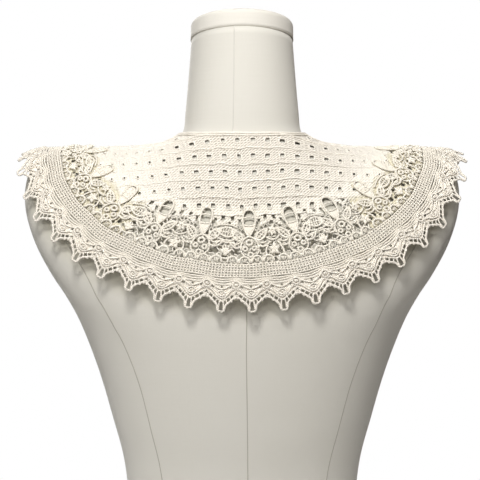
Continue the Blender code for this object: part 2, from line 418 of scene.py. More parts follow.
def mirrored(points):
    """The points on the other side, from the last to the first."""
    return [(-x, y) for x, y in reversed(points)]


def bow(*left, step=2.0):
    """A soft curve that is the same on both sides, from its left end to its middle."""
    return smooth([*left, *mirrored(left[:-1])], step=step)


def circle(x, y, rx, ry=None, count=12):
    angle = turn_of(count)
    ry = rx if ry is None else ry
    return np.stack([rx * np.cos(angle), ry * np.sin(angle)], -1) + [x, y]


def turned(points, angle):
    cos, sin = math.cos(angle), math.sin(angle)
    return np.asarray(points, float) @ np.array([[cos, sin], [-sin, cos]])


def petal(x, y, length, width, angle, tip, count=12):
    """Outline of a petal or a leaf that starts at x, y and points along angle."""
    t = np.linspace(0, 1, count // 2 + 1)
    wide = width / 2 * np.sin(math.pi * t**tip)
    top = np.stack([t * length, wide], -1)
    bottom = np.stack([t * length, -wide], -1)[::-1][1:-1]
    return turned(np.concatenate([top, bottom]), angle) + [x, y]


class Motif:
    """Cords and pads drawn once in millimetres and laid over many centres."""

    def __init__(self):
        self.cords, self.padding = [], []

    def cord(self, points, radius, up, closed=False, mirror=False):
        points = np.asarray(points, float)
        self.cords.append((points, radius, up, closed))
        if mirror:
            self.cords.append((points * [-1, 1], radius, up, closed))

    def pad(self, outline, height, up, mirror=False):
        outline = np.asarray(outline, float)
        self.padding.append((outline, height, up))
        if mirror:
            self.padding.append((outline * [-1, 1], height, up))

    def lay(self, cloth, shares, reach, shift, pads=None, narrow=1.0):
        """Lays it at each share, its pads in a cloth of their own if there is one."""
        for points, radius, up, closed in self.cords:
            x, y = points[None, :, 0] * narrow, points[None, :, 1]
            cloth.tubes(*local(shares, reach, x, y, up, shift), radius, closed)
        for outline, height, up in self.padding:
            (pads or cloth).pads(shares, reach, outline * [narrow, 1], height, up, shift)


# ---- materials


def add_node(tree, kind, inputs=None, **settings):
    """A new node. Each input is given a value, or the output that feeds it."""
    made = tree.nodes.new("ShaderNode" + kind)
    for name, value in settings.items():
        setattr(made, name, value)
    for name, value in (inputs or {}).items():
        if isinstance(value, bpy.types.NodeSocket):
            tree.links.new(value, made.inputs[name])
        else:
            made.inputs[name].default_value = value
    return made


def maths(tree, operation, *values):
    return add_node(tree, "Math", dict(enumerate(values)), operation=operation).outputs[0]


def noise(tree, where, scale, detail):
    return add_node(tree, "TexNoise", {"Scale": scale, "Detail": detail, "Vector": where}).outputs["Fac"]


def mixed(tree, share, low, high, blend="MIX"):
    """low and high mixed by share. Each is a colour, or an output that gives one."""
    low, high = (end if isinstance(end, bpy.types.NodeSocket) else (*end, 1) for end in (low, high))
    inputs = {"Factor": share, "A": low, "B": high}
    return add_node(tree, "Mix", inputs, data_type="RGBA", blend_type=blend).outputs["Result"]


def painted_shade(tree, colour, shade):
    """Painted shade: colour, multiplied by shade where the mesh's painted-shade attribute is 1."""
    under = add_node(tree, "Attribute", attribute_name="painted_shade")
    return mixed(tree, under.outputs["Fac"], colour, shade, "MULTIPLY")


def new_material(name, colour, roughness, shine, sheen):
    made = bpy.data.materials.new(name)
    made.use_nodes = True
    made.diffuse_color = (*colour, 1)
    shader = made.node_tree.nodes["Principled BSDF"]
    shader.inputs["Roughness"].default_value = roughness
    shader.inputs["Specular IOR Level"].default_value = shine
    shader.inputs["Sheen Weight"].default_value = sheen
    shader.inputs["Sheen Roughness"].default_value = 0.5
    return made, made.node_tree


def feed_shader(tree, colour, height, strength, depth):
    """Gives the material's shader its colour, and its bumps depth millimetres high."""
    shader = tree.nodes["Principled BSDF"]
    bump = add_node(tree, "Bump", {"Strength": strength, "Distance": depth * MM, "Height": height})
    tree.links.new(bump.outputs["Normal"], shader.inputs["Normal"])
    tree.links.new(colour, shader.inputs["Base Color"])


def stitches(tree, pitch, rows):
    """Slanting stitches, 0 in their grooves, with rows across them where rows isn't 0."""
    flat = add_node(tree, "UVMap", uv_map="flat").outputs["UV"]
    mirrored = add_node(tree, "Mapping", {"Scale": (-1, 1, 1), "Vector": flat}).outputs["Vector"]
    waves = []
    for direction, per_mm, apart in (("DIAGONAL", WAVE_PER_MM, pitch), ("Y", STRAIGHT_PER_MM, rows)):
        if apart:
            inputs = {"Scale": per_mm / apart, "Distortion": 1.6, "Detail": 1.5, "Detail Scale": 2.0}
            wave = add_node(tree, "TexWave", inputs | {"Vector": mirrored}, bands_direction=direction)
            waves.append(wave.outputs["Fac"])
    if not rows:
        return waves[0]
    return maths(tree, "MULTIPLY_ADD", waves[1], ROW_PART, maths(tree, "MULTIPLY", waves[0], STITCH_PART))


def lace_material(name, colour, shade, pitch, depth, rows=0.0, groove_shade_fade=0.0, pockets=False):
    """Cotton thread with a stitch or twist every pitch millimetres, in rows that far apart if not 0, and
    shade painted into its grooves.
    """
    made, tree = new_material(name, colour, roughness=0.85, shine=0.25, sheen=0.2)
    where = add_node(tree, "TexCoord").outputs["Object"]
    twist = stitches(tree, pitch, rows)
    grooves = add_node(tree, "MapRange", {"Value": twist, "From Min": 0.15, "From Max": 0.65})
    deep = shade
    if groove_shade_fade:
        # towards the shoulders, which are lit brighter, the painted shade in the grooves fades out
        across = add_node(tree, "SeparateXYZ", {0: where}).outputs["X"]
        beside = maths(tree, "ABSOLUTE", maths(tree, "ADD", across, BACK_MIDDLE * MM))
        fade_range = {"From Min": BACK_HALF * MM, "From Max": (BACK_HALF + 55) * MM, "To Max": groove_shade_fade}
        shade_fade = add_node(tree, "MapRange", fade_range | {"Value": beside})
        deep = mixed(tree, shade_fade.outputs["Result"], shade, colour)
    body = mixed(tree, grooves.outputs["Result"], deep, colour)
    shown = mixed(tree, noise(tree, where, 26, 4), body, AGED, "MULTIPLY")
    # painted shade in the sunk pockets of the flower band's close ground
    if pockets:
        shown = painted_shade(tree, shown, PAINTED_POCKET_SHADE)
    feed_shader(tree, shown, maths(tree, "MULTIPLY_ADD", noise(tree, where, 900, 3), 0.5, twist), 1.0, depth)
    return made


def cover_material(name, colour, weave, collar_shade=False):
    """Plain woven cotton stretched over the form, with slubs and a little soiling."""
    made, tree = new_material(name, colour, roughness=0.8, shine=0.3, sheen=0.15)
    where = add_node(tree, "TexCoord").outputs["Object"]
    threads = []
    for stretch in ((1.0, 1.0, 0.12), (0.12, 0.12, 1.0)):
        run = add_node(tree, "Mapping", {"Scale": stretch, "Vector": where}).outputs["Vector"]
        threads.append(noise(tree, run, weave, 2))
    soiled = [part * less for part, less in zip(colour, SOILED)]
    shown = mixed(tree, noise(tree, where, 7, 5), colour, soiled)
    # painted shade on the cloth under the collar, running on a little past its hem as a painted shadow
    if collar_shade:
        shown = painted_shade(tree, shown, PAINTED_COLLAR_SHADE)
    feed_shader(tree, shown, maths(tree, "ADD", *threads), 0.5, 0.25)
    return made


STITCH_PART = 0.65  # how much of the relief is slanting stitches
ROW_PART = 0.38  # and how much is rows
# Across the back the holes are open and the grooves keep their full painted shade, the half width below
# either side of minus the middle below.
BACK_MIDDLE = 14.0
BACK_HALF = 59.0
AGED = (0.975, 0.96, 0.925)
SOILED = (0.95, 0.94, 0.91)
PAINTED_COLLAR_SHADE = (0.72, 0.70, 0.58)  # painted shade, olive, on the form's cloth under the collar and a little past its hem
# painted shade for the sunk pockets of the flower band's close ground
PAINTED_POCKET_SHADE = (0.76, 0.74, 0.61)
# IVORY_SHADE and GROUND_SHADE are painted shade for the grooves between the stitches.
IVORY = (0.875, 0.835, 0.765)
IVORY_SHADE = (0.46, 0.42, 0.355)
GROUND = (0.90, 0.865, 0.79)
GROUND_SHADE = (0.68, 0.64, 0.55)
# Each thread's colour, its painted shade in the grooves, and its pitch and relief in millimetres.
yoke_look = lace_material("yoke_thread", IVORY, IVORY_SHADE, 2.15, 0.8, rows=2.8, groove_shade_fade=0.85)
ground_look = lace_material(
    "ground_thread", GROUND, GROUND_SHADE, 2.15, 0.7, rows=2.8, groove_shade_fade=0.6, pockets=True
)
yoke_cord_look = lace_material("yoke_cord_thread", (0.93, 0.895, 0.825), (0.78, 0.73, 0.65), 1.6, 0.25)
flower_look = lace_material("flower_thread", (0.915, 0.88, 0.795), (0.76, 0.71, 0.62), 1.4, 0.25)
beading_look = lace_material("beading_thread", (0.88, 0.84, 0.765), (0.72, 0.67, 0.58), 1.5, 0.25)
border_look = lace_material("border_thread", (0.92, 0.88, 0.81), (0.76, 0.71, 0.625), 1.5, 0.3)
# Each cover's colour and the scale of its weave.
form_look = cover_material("form_cotton", (0.645, 0.63, 0.582), 260, collar_shade=True)
cap_look = cover_material("cap_cotton", (0.70, 0.68, 0.63), 300)
seam_look = cover_material("seam_thread", (0.40, 0.38, 0.33), 300)
neck_seam_look = cover_material("neck_seam_thread", (0.58, 0.565, 0.53), 300)


# ---- the form


FORM_ROWS = [tuple(ring) for ring in FORM.values()]
FORM_SIDES = 256
FORM_STEPS = 6
PAINTED_SHADE_WITHIN = 25.0  # cloth further than this from the collar gets no painted shade


def form_point(row, angle):
    """Points of the form's surface, in millimetres; angle may be one for each row."""
    rings = cubic_through(range(len(FORM_ROWS)), FORM_ROWS, np.atleast_1d(row))
    angle = np.broadcast_to(angle, (len(rings),))
    return np.array([ring_points(ring, a) for ring, a in zip(rings, angle)])


def make_form():
    cloth = Cloth()
    at = np.linspace(0, len(FORM_ROWS) - 1, (len(FORM_ROWS) - 1) * FORM_STEPS + 1)
    rings = cubic_through(range(len(FORM_ROWS)), FORM_ROWS, at)
    points = np.array([ring_points(ring, turn_of(FORM_SIDES)) for ring in rings])
    index, quads = ring_quads(len(rings), FORM_SIDES)
    after = np.roll(index, -1, 1)
    base, top = (np.full(FORM_SIDES, index.size + k) for k in (0, 1))
    tris = [np.stack([index[0], after[0], base], -1), np.stack([after[-1], index[-1], top], -1)]
    tris = np.concatenate(tris)
    ends = [points[0].mean(axis=0), points[-1].mean(axis=0)]
    everything = np.concatenate([points.reshape(-1, 3), ends]) * MM
    uv = everything[:, [0, 2]] * FLAT_SCALE
    cloth.add(everything, quads, uv[quads], tris, uv[tris])
    made = cloth.make("form_cover", form_look)
    paint_shade_under_collar(made)
    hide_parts("form_body")


def paint_shade_under_collar(made):
    """Paints shade on the form: a weight for each of its points, for its material, from how far under the
    collar it lies, running on a little past the hem as a painted shadow.
    """
    nodes = GRID[:, ::10] * MM
    tree = kdtree.KDTree(nodes.shape[0] * nodes.shape[1])
    for i, point in enumerate(nodes.reshape(-1, 3)):
        tree.insert(point, i)
    tree.balance()
    points = np.empty(len(made.data.vertices) * 3, np.float32)
    made.data.vertices.foreach_get("co", points)
    under = []
    for point in points.reshape(-1, 3):
        _, i, apart = tree.find(point)
        reach = REACHES[i // nodes.shape[1]]
        # the painted shade's weight: little under the yoke, more under the flowers, most from the beading on,
        # fading out just past the tips as a painted shadow
        inside = 0.1 + 0.2 * ramp(reach, YOKE_END - 3, YOKE_END + 5)
        inside *= ramp(reach, -1, 4)
        inside += 0.3 * ramp(reach, BEADING_END + 2, BEADING_END + 10)
        inside *= 1 - ramp(reach, TIPS - 7, TIPS + 9)
        under.append(float(inside * (apart < PAINTED_SHADE_WITHIN * MM)))
    layer = made.data.attributes.new("painted_shade", "FLOAT", "POINT")
    layer.data.foreach_set("value", under)


# Seams of the cover: rows of FORM, and the angle round the form at each.
SEAM_ROWS = [0, 3, 6, 8, 9.7, 11.4, 13.3, 14.3, 15]
SEAMS = {
    "centre_back": ([0, 6, 9, 12, 17], [-0.05, -0.04, -0.02, -0.015, 0]),
    "princess_back_left": (SEAM_ROWS, [0.58, 0.62, 0.65, 0.635, 0.61, 0.57, 0.60, 0.73, 0.80]),
    "princess_back_right": (SEAM_ROWS, [-0.63, -0.67, -0.70, -0.69, -0.65, -0.585, -0.60, -0.73, -0.80]),
    "side_left": ([0, 15], [1.57, 1.57]),
    "side_right": ([0, 15], [-1.57, -1.57]),
    "princess_front_left": ([0, 5.5, 9, 11, 14.5], [2.46, 2.40, 2.30, 2.20, 1.95]),
    "princess_front_right": ([0, 5.5, 9, 11, 14.5], [-2.46, -2.40, -2.30, -2.20, -1.95]),
    "centre_front": ([0, 17], [3.1416, 3.1416]),
}
NECK_SEAMS = {
    "neck_back": ([19, 23], [0.13, 0.15]),
    "neck_front": ([19, 23], [3.1416, 3.1416]),
}


SEAM_TALL = 0.6  # height of a seam over its width


def make_seams(name, seams, radius, look):
    cloth = Cloth()
    for rows, angles in seams.values():
        at = np.linspace(rows[0] + 0.02, rows[-1], int((rows[-1] - rows[0]) * 10))
        angle = cubic_through(rows, [(angle,) for angle in angles], at)[:, 0]
        points = form_point(at, angle)
        beside = form_point(at, angle + 0.01) - points
        out = unit(np.cross(beside, np.gradient(points, axis=0)))
        cloth.tubes((points * MM)[None], out[None], radius, tall=SEAM_TALL)
    made = cloth.make(name, look)


def cap_profile():
    """Distances from the cap's axis, and heights, from the middle of its top to that of its base."""
    flat = CAP_RADIUS - CAP_EDGE
    low = CAP_HEIGHT - CAP_DOME - CAP_EDGE
    profile = [(0.0, CAP_HEIGHT)]
    for share in np.linspace(0.15, 1, 8):
        profile.append((flat * share, CAP_HEIGHT - CAP_DOME * share**2))
    for angle in np.linspace(math.pi / 2, 0, 9)[1:]:
        profile.append((flat + CAP_EDGE * math.cos(angle), low + CAP_EDGE * math.sin(angle)))
    for height in (9.0, 6.0, 3.0, CAP_CHAMFER):
        profile.append((CAP_RADIUS, height))
    return [*profile, (CAP_RADIUS - CAP_CHAMFER, 0.0), (0.0, 0.0)]


def make_cap():
    cloth = Cloth()
    neck = FORM["neck_top"]
    tilt = math.atan2(neck.back_z - neck.front_z, neck.back_y - neck.front_y)
    profile = cap_profile()
    sides = 144
    turn = turn_of(sides)
    rings = np.array([[(r * math.cos(a), r * math.sin(a), h) for a in turn] for r, h in profile])
    cos, sin = math.cos(tilt), math.sin(tilt)

    def on_neck(points):
        """Points of a level cap, tilted to lie on the neck's top, in metres."""
        x, y, z = np.moveaxis(points, -1, 0)
        return np.stack([x, cos * y - sin * z + neck.side_y, sin * y + cos * z + neck.side_z], -1) * MM

    points = on_neck(rings + [0, 0, CAP_CLEAR])
    _, quads = ring_quads(len(profile), sides)
    uv = points.reshape(-1, 3)[:, :2] * FLAT_SCALE
    cloth.add(points, quads, uv[quads])
    made = cloth.make("cap_cover", cap_look)
    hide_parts("neck_cap")

    seam_cloth = Cloth()
    ring = np.stack([np.cos(turn), np.sin(turn), np.zeros(sides)], -1) * CAP_SEAM_RADIUS
    centre = on_neck(ring + [0, 0, CAP_SEAM_UP])
    out = unit(ring[:, [0, 1, 1]] * [1, cos, sin])
    seam_cloth.tubes(centre[None], out[None], radius=0.7, closed=True)
    seam = seam_cloth.make("cap_seam", seam_look)


# ---- dense filet crochet

# The yoke is worked in straight rows, so it is charted flat: X along the shoulders, Y from front to back.
NECK_RHO = 62.0
COLUMN = 13.5
COLUMN_START = 4.0
ROW = 18.0
ROW_START = 70.0
HOLE_WIDE = 4.6
HOLE_TALL = 5.6
RIB_AT = 7.05  # from a column of holes to the ribs beside it
DRIFT = 0.05  # how far the columns lean, over the height
BOW = -17.0  # how far the rows bend up beside the neck, at ROW_START
BOW_EASE = -0.13  # and how much that changes per millimetre further out
RISE = -0.05  # slope of the rows on one side
FLOWER_SHIFT = -0.0135
REPEATS = 24
NARROW = 0.87  # width of the motifs between the bells, over the width they are drawn at


def chart_lines(pitch, start, hole, in_hole, between, reach):
    """Line positions of the chart in one direction, finer across the holes than between them."""
    low = math.floor((-reach - start) / pitch)
    high = math.ceil((reach - start) / pitch)
    lines = []
    for i in range(low, high + 1):
        centre = start + i * pitch
        lines += list(centre - hole / 2 + hole * np.arange(in_hole) / in_hole)
        lines += list(centre + hole / 2 + (pitch - hole) * np.arange(between) / between)
    return np.array(lines)


def from_nearest(at, start, pitch):
    """Distance from the nearest of the holes that are pitch apart."""
    return at - start - np.round((at - start) / pitch) * pitch


def chart_to_cloth(x, y):
    """Share and reach of a place on the chart, whose rows are bowed up towards the shoulders at the back."""
    at_back = np.clip(y / 40, 0, 1)
    bow = BOW - BOW_EASE * np.clip(y - ROW_START, -30, 80)
    y = y + at_back * (bow * (1 - np.exp(-((x / 55) ** 2))) + RISE * (np.abs(x) - x) / 2)
    x = x - DRIFT * (y - ROW_START)
    return np.arctan2(x, y) / math.pi, np.hypot(x, y) - NECK_RHO


def unit_phase(share, reach):
    """Distance along the cloth, in millimetres, from the middle of the flower repeat that share is in."""
    bare = share - FLOWER_SHIFT * (1 - np.abs(share))
    turn = bare * REPEATS / 2
    return (turn - np.round(turn)) * 2 / REPEATS * half_length(reach), np.round(turn)


def dense_edge(x):
    """How far below the yoke's end the dense crochet goes, x from a repeat's middle."""
    x = np.abs(x)
    under_bell = 4.6 + 0.06 * x**2
    beside = 23.0 - 0.50 * (x - 6.0)
    return np.where(x < 5.9, under_bell, beside)


def opening(x, v):
    """Whether a point beside a bell is in one of the slots of the dense crochet."""
    lean = np.abs(np.abs(x) - (8.6 - 0.12 * (v - 18))) < 1.2
    slot = lean & (v > 13.5) & (v < 22.0)
    pair = (np.abs(np.abs(x) - 15.2) < 1.6) & (v > 10.5) & (v < 15.5)
    return slot | pair


def to_shoulder(x):
    """0 over the back and 1 at the shoulders, where the holes have closed up and the bars lie flat."""
    return ramp(np.abs(x + BACK_MIDDLE), BACK_HALF, BACK_HALF + 50)


def fabric_cells():
    """The chart's points, their places on the cloth, and which of its cells are worked."""
    reach = NECK_RHO + FLOWERS_END + 1
    xs = chart_lines(COLUMN, COLUMN_START, HOLE_WIDE, 5, 11, reach)
    ys = chart_lines(ROW, ROW_START, HOLE_TALL, 5, 15, reach + 20)
    x, y = np.meshgrid(xs, ys, indexing="ij")
    share, far = chart_to_cloth(x, y)
    cx, cy = middle_of(x), middle_of(y)
    c_share, c_reach = chart_to_cloth(cx, cy)
    smaller = 1 - 0.55 * to_shoulder(cx)
    off_x = np.abs(from_nearest(cx, COLUMN_START, COLUMN)) / (HOLE_WIDE / 2)
    off_y = np.abs(from_nearest(cy, ROW_START, ROW)) / (HOLE_TALL / 2)
    keep = ~((off_x < smaller) & (off_y < smaller)) & (c_reach > 0)
    corners = np.stack([share[:-1, :-1], share[1:, :-1], share[1:, 1:], share[:-1, 1:]])
    keep &= np.ptp(corners, axis=0) < 1
    phase, number = unit_phase(c_share, c_reach)
    v = c_reach - YOKE_END
    closed = (np.abs(number) >= OPEN_REPEATS) & (c_reach < FLOWERS_END)
    closed &= outside(phase, v, OPENINGS[1:], 0.7)
    keep &= (v < dense_edge(phase)) & ~opening(phase, v) | (closed & (v > 0))
    return x, y, share, far, keep, c_reach


def fabric_relief(x, y):
    """Height of the worked surface, in millimetres, from the chart's own lines."""
    from_row = np.abs(from_nearest(y, ROW_START, ROW))
    from_column = np.abs(from_nearest(x, COLUMN_START, COLUMN))
    bar = 0.35 * np.exp(-(((from_row - ROW / 2) / 1.3) ** 2))
    ribs = 0.5 * np.exp(-(((from_column - RIB_AT) / 1.2) ** 2))
    near_hole = 0.35 * np.exp(-((from_row / 4.0) ** 2))
    stitch = 0.2 * np.sin(2 * math.pi * (x * 0.67 + y * 0.74) / 5.2) * (0.6 + 0.4 * np.cos(1.1 * y + 0.3 * x))
    return bar + ribs - near_hole + stitch


def make_fabric():
    """The sheet of the yoke, and that of the flower band's top and sides, with how sunk its points are."""
    x, y, share, far, keep, c_reach = fabric_cells()
    height = fabric_relief(x, y).ravel()
    flat = np.stack([x, y], -1).reshape(-1, 2) * MM * FLAT_SCALE
    cells = sheet_quads(np.arange(x.size).reshape(x.shape))
    sheets = []
    for part in (c_reach < YOKE_END, c_reach >= YOKE_END):
        used, quads = np.unique(cells[keep & part], return_inverse=True)
        quads = quads.reshape(-1, 4)
        along, reach = share.ravel()[used], np.maximum(far.ravel()[used], 0)
        phase, number = unit_phase(along, reach)
        v = reach - YOKE_END
        pockets = 0.5 + 0.5 * np.cos(2 * math.pi * (phase + 0.2 * v) / 6.4) * np.cos(2 * math.pi * v / 5.7)
        sunk = ramp(v - dense_edge(phase), -3, 1) * (0.4 + 0.6 * pockets)
        sunk *= np.abs(number) >= OPEN_REPEATS
        points, _ = place(along, reach, height[used] - SUNK * sunk)
        cloth = Cloth()
        cloth.add(points, quads, flat[used][quads])
        sheets.append((cloth, sunk))
    return sheets


def runs(inside):
    """The stretches of True in a row of flags, as pairs of first and past-last."""
    edges = np.flatnonzero(np.diff(np.concatenate([[False], inside, [False]]).astype(int)))
    return list(zip(edges[::2], edges[1::2]))


def hole_rims(cloth):
    """Corded rims round the square holes of the yoke."""
    columns = COLUMN_START + COLUMN * np.arange(-12, 13)
    rows = ROW_START + ROW * np.arange(-14, 9)
    cx, cy = (a.ravel() for a in np.meshgrid(columns, rows, indexing="ij"))
    share, far = chart_to_cloth(cx, cy)
    phase, _ = unit_phase(share, far)
    v = far - YOKE_END
    good = (far > 4.0) & (v < dense_edge(phase) - 2.0) & (np.abs(np.abs(share) - 1) > 0.012)
    good &= ~((v > 2) & (np.abs(phase) < 9))
    cx, cy = cx[good][:, None], cy[good][:, None]
    cos, sin = np.cos(turn_of(16)), np.sin(turn_of(16))
    size = 1 - 0.45 * to_shoulder(cx)
    # the powers make the rims squarish
    rx = cx + (HOLE_WIDE / 2 + 0.35) * size * (np.sign(cos) * np.abs(cos) ** 0.55)
    ry = cy + (HOLE_TALL / 2 + 0.35) * size * (np.sign(sin) * np.abs(sin) ** 0.55)
    cloth.thread(*chart_to_cloth(rx, ry), up=-0.25, radius=0.75, closed=True)


def row_bars(cloth):
    """Thin wavy bars halfway between the yoke's rows of holes."""
    reach = NECK_RHO + YOKE_END + 20
    xs = np.arange(-reach, reach, 1.9)
    for k in range(-9, 6):
        base = ROW_START + ROW * (k + 0.5)
        wave = 0.55 * np.sin(xs * 2 * math.pi / COLUMN + k * 1.7) + 0.35 * np.sin(xs * 0.21 + k)
        s, r = chart_to_cloth(xs, base + wave)
        phase, _ = unit_phase(s, r)
        fine = (r > 1.0) & (r - YOKE_END < dense_edge(phase) - 1.5) & (np.abs(s) < 0.99)
        up = 0.6 - 0.5 * to_shoulder(xs) + 0.15 * np.sin(xs * 1.3)
        for a, b in runs(fine):
            if b - a > 3:
                cloth.thread(s[a:b], r[a:b], up[a:b], radius=0.72)


def round_edges(cloth, reach, radius, up, count=720, sides=6):
    """A cord round the collar at one reach."""
    cloth.thread(np.linspace(-THREAD_END, THREAD_END, count), reach, up, radius, sides=sides)


# ---- flowers


OPEN_REPEATS = 3  # from this repeat on, towards the shoulders, the flowers are worked on a close ground
SUNK = 1.9  # how deep the pockets of that ground are, in millimetres


def bell(window):
    """A pointed bell. Those at the sides have no window."""
    m = Motif()
    side = [(3.5, 5.6), (5.2, 9.5), (5.6, 15), (5.1, 20), (3.4, 26.0)]
    outline = [(0, 4.2), *side, (0, 31.2), *mirrored(side)]
    m.cord(smooth(outline, closed=True, step=1.7), 1.0, 0.5, closed=True)
    m.cord(bow((-5.0, 12.6), (0, 11.6)), 0.8, 0.8)
    m.cord(bow((-5.2, 20.4), (0, 21.0)), 0.9, 0.8)
    skirt = [(4.2, 24), (2.6, 27.4), (0.8, 30.2)]
    m.pad([(-4.9, 21), (4.9, 21), *skirt, *mirrored(skirt)], 1.0, 0.1)
    if not window:
        inside = [(3.0, 6.4), (4.8, 10), (5.0, 15), (4.6, 19.6)]
        m.pad(smooth(inside + mirrored(inside), closed=True), 1.1, 0.2)
        m.cord(line((0, 7), (0, 19.5)), 0.6, 1.0)
        m.cord(bow((-4.6, 16.4), (0, 15.4)), 0.6, 1.0)
    return m


def ring_cluster():
    m = Motif()
    m.cord(circle(0, 38.0, 2.8, 2.5), 1.2, 1.0, closed=True)
    m.cord(circle(-4.2, 43.8, 1.9), 1.0, 0.8, closed=True)
    m.cord(circle(4.2, 43.6, 1.9), 1.0, 0.8, closed=True)
    m.cord(circle(-0.2, 49.6, 2.2), 1.05, 0.8, closed=True)
    m.cord(bow((-8.6, 44.6), (-7.0, 37.6), (-3.6, 33.4), (0, 32.0)), 1.0, 0.6)
    m.cord(smooth([(-8.6, 44.6), (-7.2, 48.6), (-4.4, 51.0)]), 0.8, 0.4, mirror=True)
    return m


def net_leaf(m, x, y, length, width, angle, mirror=False):
    """A leaf with an outline, a rib and slanting rungs."""
    outline = petal(x, y, length, width, angle, tip=0.85, count=20)
    m.cord(outline, 1.0, 0.8, closed=True, mirror=mirror)
    middle = turned([(0.4, 0), (length - 0.4, 0)], angle) + [x, y]
    m.cord(line(*middle), 0.7, 0.9, mirror=mirror)
    for at in np.arange(2.6, length - 1.5, 2.9):
        wide = width / 2 * math.sin(math.pi * (at / length) ** 0.85)
        rung = turned([(at - 1.0, -wide), (at + 0.9, wide)], angle) + [x, y]
        m.cord(line(*rung), 0.6, 0.7, mirror=mirror)


def side_leaves():
    m = Motif()
    net_leaf(m, 7.0, 36.0, 16.5, 7.6, -0.78, mirror=True)
    m.cord(smooth([(6.6, 28.5), (8.6, 35.2), (12.6, 38.6), (18.5, 37.0)]), 0.9, 0.5, mirror=True)
    m.cord(smooth([(9.0, 40.6), (13.4, 42.4), (18, 41.2), (21.5, 37.5)]), 0.9, 0.5, mirror=True)
    return m


def arches():
    m = Motif()
    for x in (-19.6, -6.6, 6.6, 19.6):
        m.cord(bow((-5.6, 57.4), (-5.0, 54.0), (-2.8, 51.6), (0, 51.0)) + [x, 0], 1.0, 0.6)
        for lean in (-0.5, 0.0, 0.5):
            m.cord(line((x + 2.0 * lean, 56.6), (x + 4.6 * lean, 53.0)), 0.5, 0.3)
    for x in (-13.1, 0.0, 13.1):
        m.pad(circle(x, 54.4, 1.4, 1.8, count=8), 0.9, 0.1)
    return m


def fan():
    m = Motif()
    for k in range(-2, 3):
        angle = -math.pi / 2 + k * 0.46
        m.pad(petal(0, 49.0, 9.6 - abs(k) * 0.6, 3.5, angle, tip=0.8), 1.6, 0.7)
    m.pad(circle(0, 49.0, 2.2, 1.8, count=10), 1.4, 0.8)
    m.cord(bow((-9, 50), (-5.5, 52.4), (0, 53.2)), 0.95, 0.5)
    m.cord(bow((-11.0, 41), (-8, 37.6), (-3, 36.8), (0, 37.6)), 0.9, 0.5)
    return m


def eye_leaf():
    m = Motif()
    net_leaf(m, -10.5, 27.0, 21.0, 9.8, 0.0)
    m.cord(bow((-13, 31.4), (-7, 34.6), (0, 35.4)), 0.95, 0.6)
    m.cord(bow((-12, 22.6), (-6, 20.0), (0, 19.2)), 0.85, 0.5)
    return m


def star():
    m = Motif()
    for k in range(6):
        m.pad(petal(0, 27.0, 6.4, 3.5, k * math.pi / 3 + 0.3, tip=0.7), 1.4, 0.7)
    m.cord(circle(0, 27.0, 1.5, count=10), 0.85, 1.6, closed=True)
    m.cord(bow((-7.5, 32.4), (-4, 35.0), (0, 35.8)), 0.9, 0.5)
    return m


def padded_flower():
    m = Motif()
    for angle, length in ((-math.pi / 2, 7.6), (-2.72, 7.0), (-0.42, 7.0), (0.80, 6.8), (2.34, 6.8)):
        m.pad(petal(0, 45.6, length, 4.7, angle, tip=0.75), 1.9, 0.7)
    m.pad(circle(0, 45.6, 2.0, count=10), 1.4, 1.5)
    m.cord(smooth([(-9.5, 52), (-9.9, 47), (-8.4, 43.4), (-6.2, 41.4)]), 0.9, 0.5, mirror=True)
    return m


# Oval places of the flower repeat with nothing in them: across, outward, half width, half height.
OPENINGS = [(0.0, 13.0, 5.2, 8.0)]
for outward, half_wide, half_tall, across in (
    (45.6, 2.6, 2.8, 12.6),
    (33.8, 1.8, 1.8, 10.4),
    (49.4, 1.9, 1.7, 8.0),
    (47.0, 2.0, 2.2, 17.2),
):
    OPENINGS += [(side * across, outward, half_wide, half_tall) for side in (1, -1)]
# And those that a motif fills, so the net leaves them free.
SOLID_ZONES = [
    (0.0, 26.0, 4.5, 5.0),
    (0.0, 38.0, 3.6, 3.3),
    (-4.2, 43.8, 2.5, 2.5),
    (4.2, 43.6, 2.5, 2.5),
    (-0.2, 49.6, 2.7, 2.7),
]


def outside(x, v, zones, edge):
    """Whether a place of the flower repeat is outside every zone; edge is 1 at their own outlines."""
    return np.all([((x - ox) / rx) ** 2 + ((v - oy) / ry) ** 2 > edge for ox, oy, rx, ry in zones], axis=0)


NET_COLUMNS = 228
NET_ROW = 4.0


def net_ground():
    """An uneven net of short threads under the flowers."""
    cloth = Cloth()
    rng = np.random.default_rng(4)
    rows = int(round((FLOWERS_END - YOKE_END + 1) / NET_ROW))
    # a brick net: zigzag threads round the collar, joined by short ones across
    share = np.linspace(-1, 1, 2 * NET_COLUMNS + 1)
    levels = YOKE_END + np.arange(rows + 1) * (FLOWERS_END - YOKE_END) / rows
    jitter = rng.normal(0, 0.75, (2, rows + 1, len(share)))
    columns_and_rows = np.arange(len(share)) + np.arange(rows + 1)[:, None]
    zig = 1 - 2 * (columns_and_rows % 2)
    reach = levels[:, None] + zig + jitter[0]
    at = np.clip(share + jitter[1] / half_length(reach), -0.998, 0.998)
    lift = -0.5 + 0.3 * rng.normal(0, 1, reach.shape).clip(-1, 1)

    def clear(s, r):
        """Whether the net has a thread there."""
        x, number = unit_phase(s, r)
        v = r - YOKE_END
        netted = (v > dense_edge(x) - 1.0) & (np.abs(number) < OPEN_REPEATS)
        return netted & outside(x, v, OPENINGS + SOLID_ZONES, 1)

    for k in range(rows + 1):
        mids = clear((at[k, :-1] + at[k, 1:]) / 2, (reach[k, :-1] + reach[k, 1:]) / 2)
        for a, b in runs(mids):
            cloth.thread(*(row[k, a : b + 1] for row in (at, reach, lift)), radius=0.78)
    for k in range(rows):
        down = np.flatnonzero(zig[k] > 0)
        s, r, up = (np.stack([row[k, down], row[k + 1, down]], -1) for row in (at, reach, lift))
        fine = clear(s.mean(axis=1), r.mean(axis=1))
        cloth.thread(s[fine], r[fine], up[fine], radius=0.72, sides=4)
    return cloth


